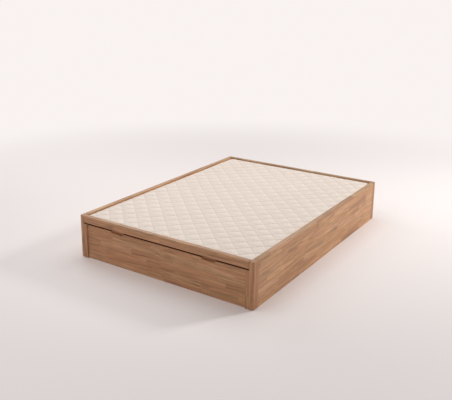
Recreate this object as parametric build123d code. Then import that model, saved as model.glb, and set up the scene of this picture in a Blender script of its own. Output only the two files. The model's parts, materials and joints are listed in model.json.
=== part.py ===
from build123d import *
import os
from math import atan2, ceil, cos, degrees, hypot, radians, sin

os.makedirs("parts", exist_ok=True)

# Lift-up storage bed base for a 135 by 190 cm mattress, in millimetres.
# The foot end faces -Y, the head end +Y and the floor is Z = 0.
# The origin is the middle of the base, on the floor.

# Overall size
WIDTH = 1430.0
LENGTH = 1960.0
HEIGHT = 315.0

# Wooden box
RIM_T = 33.0              # thickness of the side boards, and width of the posts at the rim
POST_DEPTH = 60.0         # length of a post along the side
SHOULDER = 25.0           # how much wider the foot posts are below the lid's rail
POST_CORNER_R = 9.0       # rounding of the posts' outer upright edges
EDGE_R = 3.0              # rounding of the rim and of the rail
SEAM_R = 1.0              # eased edge where two boards meet
FOOT_BOARD_T = 22.0
FOOT_BOARD_SET_BACK = 11.0
HEAD_BOARD_T = 25.0
LID_LINE = 8.0            # dark line between the lid's rail and what is under it

# Finger notches in the foot board's top edge
NOTCH_W = 114.0
NOTCH_DEPTH = 25.0
NOTCH_FROM_MIDDLE = 377.0

# Joinery of the box
DOWEL_R = 5.0
DOWEL_LENGTH = 56.0
DOWEL_FIT = 0.05
DOWEL_HEIGHTS = (50.0, 145.0, 235.0)
THIN_DOWEL_R = 3.0        # dowels in the end of the thinner foot and head boards
THIN_DOWEL_LENGTH = 32.0
BATTEN_W = 70.0
BATTEN_T = 20.0
BATTEN_DROP = 6.0         # batten top below the foot board's top
BRACKET_LEG = 38.0
BRACKET_SHORT_LEG = 24.0
BRACKET_H = 50.0
BRACKET_T = 2.0
BRACKET_Z = 50.0

# Floor of the storage space
FLOOR_T = 6.0
LEDGER_T = 20.0
LEDGER_H = 26.0
FLOOR_CLEAR = 4.0         # ledgers and bearers stay off the ground
BEARER_W = 40.0
FOOT_R = 16.0
FLOOR_PLAY = 1.0          # gap round each floor board
FLOOR_BOARDS = 3

# Ledges that the closed lid rests on
LEDGE_T = 32.0
LEDGE_H = 30.0
LEDGE_LENGTH = 1190.0
REST_T = 2.7              # rubber rest pads
REST_W = 20.0
REST_LENGTH = 44.0
REST_COUNT = 3
REST_END = 60.0           # first and last rest pad from the ledge's ends

# Lid
RAIL_H = 51.0
RAIL_T = 33.0
RAIL_END_GAP = 3.0
SIDE_GAP = 6.0            # pad to side board
HEAD_GAP = 9.0            # pad to head board
RAIL_PAD_GAP = 2.0
PAD_DROP = 12.0           # crown of the pad below the rim
PAD_T = 14.0
PAD_EDGE_R = 8.0
PAD_CORNER_R = 22.0
LID_BOARD_T = 4.0
LID_BOARD_SPLIT = 2.0
TUBE_W = 35.0
TUBE_H = 25.0
TUBE_WALL = 1.5
TUBE_CORNER_R = 3.0
TUBE_INSET = 1.0          # frame inside the lid boards' edge
CROSS_TUBES = 3

# Diamond quilting of the pad
QUILT_DIAGONAL = 133.0    # diamond, corner to corner
QUILT_SHIFT_SUM = 59.0    # a stitched line where x + y has this value
QUILT_SHIFT_DIFF = 15.0   # a stitched line where x - y has this value
CHANNEL_W = 9.0
CHANNEL_DEPTH = 3.0

# Lift mechanism, the same at both sides
LIFT_ANGLE = 38.0
HINGE_FROM_HEAD = 220.0   # pivot from the lid's head edge
HINGE_DROP = 12.0         # pivot below the arm's top flange
LOWER_PIN_FORWARD = 110.0
LOWER_PIN_DOWN = 186.0
UPPER_PIN_FORWARD = 216.0
PLATE_T = 3.0
PLATE_LOBE_R = 18.0
ARM_T = 4.0
ARM_FLANGE = 37.0
ARM_FORWARD = 380.0
ARM_BACK = 38.0
ARM_DEPTH = 24.0          # upright flange below the pivot
ARM_TIP_DEPTH = 2.0
RUN_GAP = 0.3             # side play between moving faces
JOURNAL_FIT = 0.05        # radial play of the pivots
PIVOT_R = 6.0
PIVOT_COLLAR_R = 10.5
COLLAR_T = 1.5
PIVOT_NUT_R = 9.8
PIVOT_NUT_T = 6.0
PLATE_SCREW_R = 3.0
PLATE_SCREW_HEAD_R = 5.5
PLATE_SCREW_LENGTH = 30.0
ARM_BOLT_R = 4.0
ARM_BOLT_HEAD_R = 7.0
ARM_BOLT_HEAD_T = 5.0
ARM_BOLT_LENGTH = 20.0
ARM_BOLT_FORWARD = (60.0, 135.0, 320.0)

# Gas springs
SPRING_OFFSET = 18.2      # middle of the spring from the arm's inner face
EYE_T = 10.0
EYE_R = 8.0
PIN_R = 4.0
PIN_SHOULDER_R = 7.0
PIN_HEAD_T = 1.5
PIN_PROUD = 2.2           # pin's end beyond the eye
NUT_R = 6.5
NUT_T = 2.5
CYLINDER_R = 11.0
CYLINDER_BORE_R = 9.5
CYLINDER_FROM = 24.0      # closed end of the cylinder from its eye
CYLINDER_END_WALL = 4.0
GLAND_T = 12.0
NECK_R = 4.5              # stem of either eye
ROD_R = 5.0
PISTON_T = 8.0
PISTON_PLAY = 0.1
PISTON_BACK_PLAY = 2.0    # left behind the piston, lid closed
PISTON_END_PLAY = 1.5     # left before the gland, lid open
SOCKET_R = 6.5            # end fitting screwed on the rod
SOCKET_LENGTH = 16.0
SOCKET_TO_EYE = 11.5      # from the fitting's shoulder to the eye's middle
ROD_RATE_FACTOR = 1.02    # rod's steady rate against its mean, which shares out the eye's wander

# Fasteners
SCREW_R = 2.25
SCREW_HEAD_R = 4.5
SCREW_FIT = 0.05
BOARD_SCREW_LENGTH = 38.0
BRACKET_SCREW_LENGTH = 18.0
RAIL_SCREW_LENGTH = 26.0
RAIL_SCREWS = 5
LEDGE_SCREWS = 4
LEDGER_SCREWS = 3

# Planes and lines that several pieces share
foot_y = -LENGTH / 2
head_y = LENGTH / 2
rim_x = WIDTH / 2 - RIM_T
shoulder_x = rim_x - SHOULDER
rail_z = HEIGHT - RAIL_H
shoulder_z = rail_z - LID_LINE
rail_back_y = foot_y + RAIL_T
foot_board_y = foot_y + FOOT_BOARD_SET_BACK
foot_inner_y = foot_board_y + FOOT_BOARD_T
head_inner_y = head_y - HEAD_BOARD_T
foot_post_y = foot_y + POST_DEPTH
head_post_y = head_y - POST_DEPTH

pad_z = HEIGHT - PAD_DROP - PAD_T
lid_board_z = pad_z - LID_BOARD_T
tube_z = lid_board_z - TUBE_H
lid_x = rim_x - SIDE_GAP
lid_head_y = head_inner_y - HEAD_GAP
lid_foot_y = rail_back_y + RAIL_PAD_GAP
tube_x = lid_x - TUBE_INSET
tube_inner_x = tube_x - TUBE_W
frame_head_y = lid_head_y - TUBE_INSET

ledger_top = FLOOR_CLEAR + LEDGER_H
floor_top = ledger_top + FLOOR_T

hinge_y = lid_head_y - HINGE_FROM_HEAD
hinge_z = tube_z - ARM_T - HINGE_DROP
plate_x = rim_x - PLATE_T
collar_x = plate_x - COLLAR_T
arm_outer_x = collar_x - RUN_GAP
arm_inner_x = arm_outer_x - ARM_T
spring_x = arm_inner_x - SPRING_OFFSET
eye_outer_x = spring_x + EYE_T / 2
eye_inner_x = spring_x - EYE_T / 2


def block(x0, x1, y0, y1, z0, z1):
    """Box between two corners."""
    centre = Pos((x0 + x1) / 2, (y0 + y1) / 2, (z0 + z1) / 2)
    return centre * Box(x1 - x0, y1 - y0, z1 - z0)


def round_x(x0, x1, radius, y, z):
    """Round bar along X."""
    return Pos((x0 + x1) / 2, y, z) * Rot(0, 90, 0) * Cylinder(radius, x1 - x0)


def round_y(y0, y1, radius, x, z):
    """Round bar along Y."""
    return Pos(x, (y0 + y1) / 2, z) * Rot(90, 0, 0) * Cylinder(radius, y1 - y0)


def round_z(z0, z1, radius, x, y):
    """Round bar along Z."""
    return Pos(x, y, (z0 + z1) / 2) * Cylinder(radius, z1 - z0)


def hex_x(x0, x1, radius, y, z):
    """Hexagonal nut along X."""
    face = Plane(origin=(x0, y, z), x_dir=(0, 1, 0), z_dir=(1, 0, 0)) * RegularPolygon(radius, 6)
    return extrude(face, x1 - x0)


def spread(first, last, count):
    """Evenly spaced places, both ends among them."""
    return [first + (last - first) * i / (count - 1) for i in range(count)]


def left(shape):
    """The same piece at the left side."""
    return mirror(shape, about=Plane.YZ)


def both(shapes):
    """Pieces at the right side and their mirror images."""
    return list(shapes) + [left(shape) for shape in shapes]


def save(node, *shapes):
    """Write one node, as one solid or as a group of separate ones."""
    solids = [solid for shape in shapes for solid in shape.solids()]
    whole = solids[0] if len(solids) == 1 else Compound(children=solids)
    whole.label = node
    export_step(whole, f"parts/{node}.step")


def save_pair(node, shape):
    """Write the right and the left piece of a mirrored pair."""
    save(f"{node}_right", shape)
    save(f"{node}_left", left(shape))


def countersunk(place, direction, length, shank_r=SCREW_R, head_r=SCREW_HEAD_R, grow=0.0):
    """Countersunk screw whose head is flush at place and which runs along direction. grow makes its hole."""
    sink = head_r - shank_r
    profile = Polyline(
        (0, 0), (head_r + grow, 0), (shank_r + grow, sink), (shank_r + grow, length - shank_r),
        (0, length), close=True)
    turned = revolve(Plane.XZ * make_face(profile), Axis.Z)
    return Plane(origin=place, z_dir=direction).location * turned


def drill(shape, screws, **size):
    """Cut the holes of countersunk screws, given as place, direction and length."""
    for place, direction, length in screws:
        shape -= countersunk(place, direction, length, grow=SCREW_FIT, **size)
    return shape


def post_dowels(y):
    """Dowels along Y between a post and a side board, right side."""
    half = DOWEL_LENGTH / 2
    return [round_y(y - half, y + half, DOWEL_R, rim_x + RIM_T / 2, z) for z in DOWEL_HEIGHTS]


def thin_dowels(y):
    """Dowels along X between a post and a foot or head board, right side."""
    x = shoulder_x if y < 0 else rim_x
    half = THIN_DOWEL_LENGTH / 2
    return [round_x(x - half, x + half, THIN_DOWEL_R, y, z) for z in DOWEL_HEIGHTS[:2]]


def dowel_holes(shape, dowels, radius):
    """Cut dowel holes: the dowels' own shapes, grown by the fit."""
    for dowel in dowels:
        box = dowel.bounding_box()
        if box.size.X > box.size.Y:
            hole = round_x(box.min.X, box.max.X, radius + DOWEL_FIT, box.center().Y, box.center().Z)
        else:
            hole = round_y(box.min.Y, box.max.Y, radius + DOWEL_FIT, box.center().X, box.center().Z)
        shape -= hole
    return shape


def foot_board_middle():
    """Y of the middle of the foot board's thickness."""
    return foot_board_y + FOOT_BOARD_T / 2


def head_board_middle():
    """Y of the middle of the head board's thickness."""
    return head_y - HEAD_BOARD_T / 2


def upright_edges(shape, x, y):
    """Edges along Z at one place."""
    return [edge for edge in shape.edges().filter_by(Axis.Z)
            if abs(edge.center().X - x) < SEAM_R and abs(edge.center().Y - y) < SEAM_R]


def top_edges(shape):
    """Edges of the face at the rim's height."""
    return shape.faces().sort_by(Axis.Z)[-1].edges()


def corner_posts():
    """Foot posts with a shoulder under the rail, and plain head posts."""
    outer_x = WIDTH / 2
    foot = block(rim_x, outer_x, foot_y, foot_post_y, 0, HEIGHT)
    foot += block(shoulder_x, rim_x, foot_y, foot_post_y, 0, shoulder_z)
    foot = fillet(upright_edges(foot, outer_x, foot_y), POST_CORNER_R)
    foot = fillet(top_edges(foot), EDGE_R)
    foot = dowel_holes(foot, post_dowels(foot_post_y), DOWEL_R)
    foot = dowel_holes(foot, thin_dowels(foot_board_middle()), THIN_DOWEL_R)
    foot = drill(foot, [s for s in bracket_screws() if s[1][0] > 0 and s[0][1] < 0])
    save_pair("corner_post_foot", foot)

    head = block(rim_x, outer_x, head_post_y, head_y, 0, HEIGHT)
    head = fillet(upright_edges(head, outer_x, head_y), POST_CORNER_R)
    head = fillet(top_edges(head), EDGE_R)
    head = dowel_holes(head, post_dowels(head_post_y), DOWEL_R)
    head = dowel_holes(head, thin_dowels(head_board_middle()), THIN_DOWEL_R)
    head = drill(head, [s for s in bracket_screws() if s[1][0] > 0 and s[0][1] > 0])
    save_pair("corner_post_head", head)


def side_boards():
    """Side boards between the posts."""
    side = block(rim_x, WIDTH / 2, foot_post_y, head_post_y, 0, HEIGHT)
    long_top = [e for e in top_edges(side) if e.length > LENGTH / 2]
    side = fillet(long_top, EDGE_R)
    for y in (foot_post_y, head_post_y):
        side = dowel_holes(side, post_dowels(y), DOWEL_R)
    side = drill(side, ledge_screws() + side_ledger_screws())
    side = drill(side, plate_screws(), shank_r=PLATE_SCREW_R, head_r=PLATE_SCREW_HEAD_R)
    save_pair("side_board", side)


def foot_boards():
    """Foot board in two halves, each with a finger notch, and the batten behind their joint."""
    board = block(0, shoulder_x, foot_board_y, foot_inner_y, 0, shoulder_z)
    corner_r = NOTCH_DEPTH - EDGE_R
    notch = block(NOTCH_FROM_MIDDLE - NOTCH_W / 2, NOTCH_FROM_MIDDLE + NOTCH_W / 2,
                  foot_board_y, foot_inner_y, shoulder_z - NOTCH_DEPTH, shoulder_z + NOTCH_DEPTH)
    lower = [e for e in notch.edges().filter_by(Axis.Y) if e.center().Z < shoulder_z]
    board -= fillet(lower, corner_r)
    board = fillet(upright_edges(board, 0, foot_board_y), SEAM_R)
    board = dowel_holes(board, thin_dowels(foot_board_middle()), THIN_DOWEL_R)
    board = drill(board, [s for s in bracket_screws() if s[1][1] < 0])
    board = drill(board, [s for s in batten_screws() if s[0][0] > 0] + foot_ledger_screws())
    save("foot_board_right", board)
    save("foot_board_left", left(board))

    batten = block(-BATTEN_W / 2, BATTEN_W / 2, foot_inner_y, foot_inner_y + BATTEN_T,
                   floor_top + FLOOR_PLAY, shoulder_z - BATTEN_DROP)
    batten = fillet(batten.edges().filter_by(Axis.Z).group_by(Axis.Y)[-1], EDGE_R)
    save("foot_batten", drill(batten, batten_screws()))


def batten_screws():
    """Screws through the batten into both halves of the foot board."""
    y = foot_inner_y + BATTEN_T
    heights = (floor_top + BATTEN_W / 2, shoulder_z - BATTEN_W / 2)
    return [((x, y, z), (0, -1, 0), BOARD_SCREW_LENGTH)
            for x in (-BATTEN_W / 4, BATTEN_W / 4) for z in heights]


def head_board():
    """Head board between the head posts."""
    board = block(-rim_x, rim_x, head_inner_y, head_y, 0, HEIGHT)
    board = fillet([e for e in top_edges(board) if e.length > WIDTH / 2], EDGE_R)
    board = dowel_holes(board, both(thin_dowels(head_board_middle())), THIN_DOWEL_R)
    screws = [s for s in bracket_screws() if s[1][1] > 0] + head_ledger_screws()
    board = drill(board, screws)
    mirrored = [((-x, y, z), direction, length) for (x, y, z), direction, length in screws]
    save("head_board", drill(board, mirrored))


def angle_bracket(x, y, y_dir, leg_x, leg_y):
    """Steel angle in an inner corner at the right side. Its legs run towards -X and along y_dir."""
    z0, z1 = BRACKET_Z, BRACKET_Z + BRACKET_H
    t = BRACKET_T * y_dir
    y_low, y_high = sorted((y, y + t))
    shape = block(x - leg_x, x, y_low, y_high, z0, z1)
    y_low, y_high = sorted((y, y + leg_y * y_dir))
    return shape + block(x - BRACKET_T, x, y_low, y_high, z0, z1)


def bracket_screws():
    """Screws of the two angle brackets at the right side."""
    z = BRACKET_Z + BRACKET_H / 2
    mid_foot = BRACKET_SHORT_LEG / 2
    mid_head = BRACKET_LEG * 0.6
    length = BRACKET_SCREW_LENGTH
    return [
        ((shoulder_x - mid_head, foot_inner_y + BRACKET_T, z), (0, -1, 0), length),
        ((shoulder_x - BRACKET_T, foot_inner_y + mid_foot, z), (1, 0, 0), length),
        ((rim_x - mid_head, head_inner_y - BRACKET_T, z), (0, 1, 0), length),
        ((rim_x - BRACKET_T, head_inner_y - mid_foot, z), (1, 0, 0), length),
    ]


def corner_brackets():
    """Angle brackets at the four inner corners and their screws."""
    foot = angle_bracket(shoulder_x, foot_inner_y, 1, BRACKET_LEG, BRACKET_SHORT_LEG)
    head = angle_bracket(rim_x, head_inner_y, -1, BRACKET_LEG, BRACKET_SHORT_LEG)
    brackets = [drill(shape, bracket_screws()) for shape in (foot, head)]
    save("corner_brackets", *both(brackets))
    save("bracket_screws", *both([countersunk(*screw) for screw in bracket_screws()]))


def dowels():
    """Hidden dowels of the post joints."""
    thick = post_dowels(foot_post_y) + post_dowels(head_post_y)
    thin = thin_dowels(foot_board_middle()) + thin_dowels(head_board_middle())
    save("joint_dowels", *both(thick + thin))


def side_ledger_screws():
    """Screws from the side ledger into the side board."""
    z = FLOOR_CLEAR + LEDGER_H / 2
    places = spread(foot_post_y + BEARER_W, head_post_y - BEARER_W, LEDGER_SCREWS)
    return [((rim_x - LEDGER_T, y, z), (1, 0, 0), BOARD_SCREW_LENGTH) for y in places]


def foot_ledger_screws():
    """Screws from the foot ledger into the right half of the foot board."""
    z = FLOOR_CLEAR + LEDGER_H / 2
    return [((x, foot_inner_y + LEDGER_T, z), (0, -1, 0), BOARD_SCREW_LENGTH)
            for x in (shoulder_x / 4, shoulder_x * 3 / 4)]


def head_ledger_screws():
    """Screws from the head ledger into the head board, right side."""
    z = FLOOR_CLEAR + LEDGER_H / 2
    return [((x, head_inner_y - LEDGER_T, z), (0, 1, 0), BOARD_SCREW_LENGTH)
            for x in (shoulder_x / 4, shoulder_x * 3 / 4)]


def floor_seams():
    """Y of the joints between the floor boards."""
    ends = spread(foot_inner_y, head_inner_y, FLOOR_BOARDS + 1)
    return ends[1:-1]


def floor():
    """Ledgers, bearers and feet under the storage floor, and its boards."""
    low, top = FLOOR_CLEAR, ledger_top
    side = block(rim_x - LEDGER_T, rim_x, foot_post_y + FLOOR_PLAY, head_inner_y, low, top)
    save_pair("side_ledger", drill(side, side_ledger_screws()))

    inner_x = rim_x - LEDGER_T
    for node, y0, y1, half, screws in (
            ("foot_ledger", foot_inner_y, foot_inner_y + LEDGER_T, shoulder_x, foot_ledger_screws()),
            ("head_ledger", head_inner_y - LEDGER_T, head_inner_y, inner_x, head_ledger_screws())):
        ledger = drill(block(-half, half, y0, y1, low, top), screws)
        save(node, left(drill(left(ledger), screws)))

    bearer_y0, bearer_y1 = foot_inner_y + LEDGER_T, head_inner_y - LEDGER_T
    half = BEARER_W / 2
    save("centre_bearer", block(-half, half, bearer_y0, bearer_y1, low, top))
    cross = [block(half, inner_x, y - half, y + half, low, top) for y in floor_seams()]
    save("cross_bearers", *both(cross))
    feet = spread(bearer_y0 + BEARER_W, bearer_y1 - BEARER_W, 3)
    save("bearer_feet", *[round_z(0, low, FOOT_R, 0, y) for y in feet])

    screws = side_ledger_screws() + foot_ledger_screws() + head_ledger_screws()
    save("ledger_screws", *both([countersunk(*screw) for screw in screws]))

    ends = [foot_inner_y] + floor_seams() + [head_inner_y]
    post = block(shoulder_x - FLOOR_PLAY, rim_x, foot_inner_y, foot_post_y + FLOOR_PLAY, low, floor_top)
    names = ("foot", "middle", "head")
    for index in range(FLOOR_BOARDS):
        y0 = ends[index] + FLOOR_PLAY
        y1 = ends[index + 1] - FLOOR_PLAY
        half = rim_x - FLOOR_PLAY
        board = block(-half, half, y0, y1, top, floor_top)
        if index == 0:
            board = board - post - left(post)
        save(f"floor_board_{names[index]}", board)


def ledge_screws():
    """Screws from the lid ledge into the side board."""
    z = tube_z - REST_T - RUN_GAP - LEDGE_H / 2
    y0 = foot_post_y + REST_END
    return [((rim_x - LEDGE_T, y, z), (1, 0, 0), LEDGE_T + RIM_T / 2)
            for y in spread(y0, y0 + LEDGE_LENGTH - 2 * REST_END, LEDGE_SCREWS)]


def lid_ledges():
    """Strips on the side boards that the closed lid rests on, with rubber pads."""
    top = tube_z - REST_T - RUN_GAP
    y0 = foot_post_y + FLOOR_PLAY
    ledge = block(rim_x - LEDGE_T, rim_x, y0, y0 + LEDGE_LENGTH, top - LEDGE_H, top)
    ledge = fillet(ledge.edges().filter_by(Axis.Y).group_by(Axis.X)[0], EDGE_R)
    save_pair("lid_ledge", drill(ledge, ledge_screws()))
    save("ledge_screws", *both([countersunk(*screw) for screw in ledge_screws()]))

    x = (rim_x - LEDGE_T + tube_x) / 2
    half_w, half_l = REST_W / 2, REST_LENGTH / 2
    pads = []
    for y in spread(y0 + REST_END, y0 + LEDGE_LENGTH - REST_END, REST_COUNT):
        pad = block(x - half_w, x + half_w, y - half_l, y + half_l, top, top + REST_T)
        pads.append(fillet(pad.edges().filter_by(Axis.Z), REST_W / 4))
    save("rest_pads", *both(pads))


def plate_outline():
    """Lobes of the mechanism plate: forward of the pivot and above it."""
    low = PLATE_LOBE_R - LOWER_PIN_DOWN - LOWER_PIN_FORWARD / 8
    return [(-52, 6), (36, 6), (LOWER_PIN_FORWARD + 8, 4 - LOWER_PIN_DOWN), (-52, low)]


def plate_screws():
    """Screws of the mechanism plate: three down its back edge, one at the top and one below."""
    inset = PLATE_LOBE_R / 3
    lobes = plate_outline()
    places = [lobes[0], (lobes[0][0], (lobes[0][1] + lobes[3][1]) / 2), lobes[3], (36 + inset, 6)]
    places.append((LOWER_PIN_FORWARD - 3 * PLATE_LOBE_R, lobes[3][1]))
    return [((plate_x, hinge_y - u, hinge_z + w), (1, 0, 0), PLATE_SCREW_LENGTH) for u, w in places]


def mechanism_plate():
    """Steel plate on the side board that carries the pivot and the spring's lower pin."""
    discs = [Pos(hinge_y - u, hinge_z + w) * Circle(PLATE_LOBE_R) for u, w in plate_outline()]
    outline = make_hull([edge for disc in discs for edge in disc.edges()])
    plate = extrude(Plane.YZ.offset(plate_x) * outline, PLATE_T)
    plate -= round_x(plate_x, rim_x, PIVOT_R, hinge_y, hinge_z)
    plate -= round_x(plate_x, rim_x, PIN_R, *lower_pin_yz())
    size = {"shank_r": PLATE_SCREW_R, "head_r": PLATE_SCREW_HEAD_R}
    save_pair("mechanism_plate", drill(plate, plate_screws(), **size))
    save("plate_screws", *both([countersunk(*screw, **size) for screw in plate_screws()]))


def pivot_bolt():
    """Shouldered pivot riveted in the plate, with the washer and nut that hold the arm."""
    bolt = round_x(plate_x, rim_x, PIVOT_R, hinge_y, hinge_z)
    bolt += round_x(collar_x, plate_x, PIVOT_COLLAR_R, hinge_y, hinge_z)
    inner_x = arm_inner_x - RUN_GAP
    nut_x = inner_x - COLLAR_T - PIVOT_NUT_T
    bolt += round_x(nut_x, collar_x, PIVOT_R, hinge_y, hinge_z)
    washer = round_x(inner_x - COLLAR_T, inner_x, PIVOT_COLLAR_R, hinge_y, hinge_z)
    nut = hex_x(nut_x, inner_x - COLLAR_T, PIVOT_NUT_R, hinge_y, hinge_z)
    core = round_x(nut_x, inner_x, PIVOT_R, hinge_y, hinge_z)
    for side, flip in (("right", lambda shape: shape), ("left", left)):
        save(f"pivot_bolt_{side}", flip(bolt), flip(washer - core), flip(nut - core))


def lower_pin_yz():
    """Y and Z of the gas spring's lower pin."""
    return hinge_y - LOWER_PIN_FORWARD, hinge_z - LOWER_PIN_DOWN


def upper_pin_yz():
    """Y and Z of the gas spring's upper pin, lid closed."""
    return hinge_y - UPPER_PIN_FORWARD, hinge_z


def spring_at(angle):
    """Length and direction of the gas spring with the lid at an angle in radians, forward and up."""
    forward = UPPER_PIN_FORWARD * cos(angle) - LOWER_PIN_FORWARD
    up = UPPER_PIN_FORWARD * sin(angle) + LOWER_PIN_DOWN
    return hypot(forward, up), atan2(up, forward)


def spring_rates():
    """Rod travel in mm and cylinder turn in radians, each per radian of the lid."""
    span = radians(LIFT_ANGLE)
    length0, turn0 = spring_at(0)
    length1, turn1 = spring_at(span)
    return ROD_RATE_FACTOR * (length1 - length0) / span, (turn1 - turn0) / span


def pin_wander():
    """Where the rod's eye runs beside its true pivot in the arm, as pairs along and across the slot."""
    rod_rate, turn_rate = spring_rates()
    length0, turn0 = spring_at(0)
    along = slot_direction()
    places = []
    for angle in spread(0, radians(LIFT_ANGLE), 20):
        length = length0 + rod_rate * angle
        turn = turn0 + turn_rate * angle
        forward = LOWER_PIN_FORWARD + length * cos(turn) - UPPER_PIN_FORWARD * cos(angle)
        up = length * sin(turn) - LOWER_PIN_DOWN - UPPER_PIN_FORWARD * sin(angle)
        bearing = atan2(up, forward) - angle - along
        places.append((hypot(forward, up) * cos(bearing), hypot(forward, up) * sin(bearing)))
    return places


def slot_direction():
    """Direction of the arm's slot, forward and up, lid closed: the spring's mean line seen from the lid."""
    span = radians(LIFT_ANGLE)
    return (spring_at(0)[1] + spring_at(span)[1] - span) / 2


def hinge_arm():
    """Steel angle under the frame: pivot hole at the head end and a slot for the gas spring's pin."""
    top = HINGE_DROP + ARM_T
    points = [(-ARM_BACK, top), (-ARM_BACK, -ARM_DEPTH / 4), (-ARM_DEPTH, -ARM_DEPTH),
              (UPPER_PIN_FORWARD + ARM_DEPTH, -ARM_DEPTH),
              (UPPER_PIN_FORWARD + 3.5 * ARM_DEPTH, -ARM_TIP_DEPTH), (ARM_FORWARD, -ARM_TIP_DEPTH),
              (ARM_FORWARD, top)]
    outline = Polygon(*[(hinge_y - u, hinge_z + w) for u, w in points], align=None)
    outline = fillet(outline.vertices().sort_by(Axis.Y)[1:-1], PIN_R)
    arm = extrude(Plane.YZ.offset(arm_inner_x) * outline, ARM_T, dir=(1, 0, 0))
    arm += block(arm_outer_x - ARM_FLANGE, arm_outer_x, hinge_y - ARM_FORWARD, hinge_y + ARM_BACK,
                 tube_z - ARM_T, tube_z)
    arm -= round_x(arm_inner_x, arm_outer_x, PIVOT_R + JOURNAL_FIT, hinge_y, hinge_z)

    wander = pin_wander()
    along = 2 * (max(abs(a) for a, _ in wander) + PIN_R + RUN_GAP)
    across = 2 * (max(abs(b) for _, b in wander) + PIN_R + RUN_GAP)
    y, z = upper_pin_yz()
    slot = SlotOverall(along, across, rotation=180 - degrees(slot_direction()))
    arm -= extrude(Plane.YZ.offset(arm_inner_x) * (Pos(y, z) * slot), ARM_T)

    for forward in ARM_BOLT_FORWARD:
        arm -= round_z(tube_z - ARM_T, tube_z, ARM_BOLT_R + SCREW_FIT, arm_bolt_x(), hinge_y - forward)
    save_pair("hinge_arm", arm)

    bolts = []
    for forward in ARM_BOLT_FORWARD:
        y = hinge_y - forward
        bolt = round_z(tube_z - ARM_T, tube_z - ARM_T + ARM_BOLT_LENGTH, ARM_BOLT_R, arm_bolt_x(), y)
        head = Plane(origin=(arm_bolt_x(), y, tube_z - ARM_T)) * RegularPolygon(ARM_BOLT_HEAD_R, 6)
        bolts.append(bolt + extrude(head, -ARM_BOLT_HEAD_T))
    save("arm_bolts", *both(bolts))


def arm_bolt_x():
    """X of the bolts that hold the arm to the frame's side tube."""
    return tube_x - TUBE_W / 2


def spring_frame(yz):
    """Plane at one of the spring's pins: X along the spring towards the upper pin, Z sideways."""
    _, turn = spring_at(0)
    return Plane(origin=(spring_x, *yz), x_dir=(0, -cos(turn), sin(turn)), z_dir=(1, 0, 0))


def along_spring(start, end, radius):
    """Round bar along the spring, in the plane of its lower pin."""
    return Pos((start + end) / 2, 0, 0) * Rot(0, 90, 0) * Cylinder(radius, end - start)


def gas_springs():
    """Cylinder with its eye and gland, and rod with piston and eye, lid closed."""
    length, _ = spring_at(0)
    stroke = spring_rates()[0] * radians(LIFT_ANGLE)
    piston_from = CYLINDER_FROM + CYLINDER_END_WALL + PISTON_BACK_PLAY
    gland_from = piston_from + stroke + PISTON_T + PISTON_END_PLAY
    mouth = gland_from + GLAND_T
    place = spring_frame(lower_pin_yz()).location
    hole = Cylinder(PIN_R + JOURNAL_FIT, EYE_T)

    cylinder = Cylinder(EYE_R, EYE_T) + along_spring(0, CYLINDER_FROM, NECK_R)
    cylinder += fillet(along_spring(CYLINDER_FROM, mouth, CYLINDER_R).edges(), EDGE_R / 2)
    cylinder -= along_spring(CYLINDER_FROM + CYLINDER_END_WALL, gland_from, CYLINDER_BORE_R)
    cylinder -= along_spring(gland_from, mouth, ROD_R + JOURNAL_FIT)
    save_pair("gas_cylinder", place * (cylinder - hole))

    socket_to = length - SOCKET_TO_EYE
    rod = along_spring(piston_from, socket_to, ROD_R) + along_spring(socket_to, length, NECK_R)
    rod += along_spring(piston_from, piston_from + PISTON_T, CYLINDER_BORE_R - PISTON_PLAY)
    rod += along_spring(socket_to - SOCKET_LENGTH, socket_to, SOCKET_R)
    eye = Pos(length, 0, 0) * Cylinder(EYE_R, EYE_T)
    save_pair("gas_rod", place * (rod + eye - Pos(length, 0, 0) * hole))


def spring_pins():
    """Lower pin riveted in the plate with its clip, and upper bolt through the arm's slot."""
    y, z = lower_pin_yz()
    pin = round_x(plate_x, rim_x, PIN_R, y, z)
    pin += round_x(eye_outer_x + RUN_GAP, plate_x, PIN_SHOULDER_R, y, z)
    pin += round_x(eye_inner_x - PIN_PROUD, eye_outer_x + RUN_GAP, PIN_R, y, z)
    clip_x = eye_inner_x - RUN_GAP
    clip = round_x(clip_x - PIN_HEAD_T, clip_x, PIN_SHOULDER_R, y, z)
    clip -= round_x(clip_x - PIN_HEAD_T, clip_x, PIN_R, y, z)
    for side, flip in (("right", lambda shape: shape), ("left", left)):
        save(f"lower_pin_{side}", flip(pin), flip(clip))

    y, z = upper_pin_yz()
    washer_x = arm_outer_x + RUN_GAP
    nut_x = washer_x + PIN_HEAD_T
    bolt = round_x(eye_inner_x, nut_x + NUT_T, PIN_R, y, z)
    bolt += round_x(eye_inner_x - 2 * PIN_HEAD_T, eye_inner_x, PIN_SHOULDER_R, y, z)
    core = round_x(eye_outer_x, nut_x + NUT_T, PIN_R, y, z)
    spacer = round_x(eye_outer_x, arm_inner_x - RUN_GAP, PIVOT_COLLAR_R, y, z) - core
    washer = round_x(washer_x, nut_x, PIVOT_COLLAR_R, y, z) - core
    nut = hex_x(nut_x, nut_x + NUT_T, NUT_R, y, z) - core
    for side, flip in (("right", lambda shape: shape), ("left", left)):
        save(f"upper_pin_{side}", flip(bolt), flip(spacer), flip(washer), flip(nut))


def rail_screws():
    """Screws through the frame's foot tube into the wooden rail."""
    z = tube_z + TUBE_H / 2
    return [((x, rail_back_y + TUBE_WALL, z), (0, -1, 0), RAIL_SCREW_LENGTH)
            for x in spread(-tube_inner_x * 0.9, tube_inner_x * 0.9, RAIL_SCREWS)]


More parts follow.
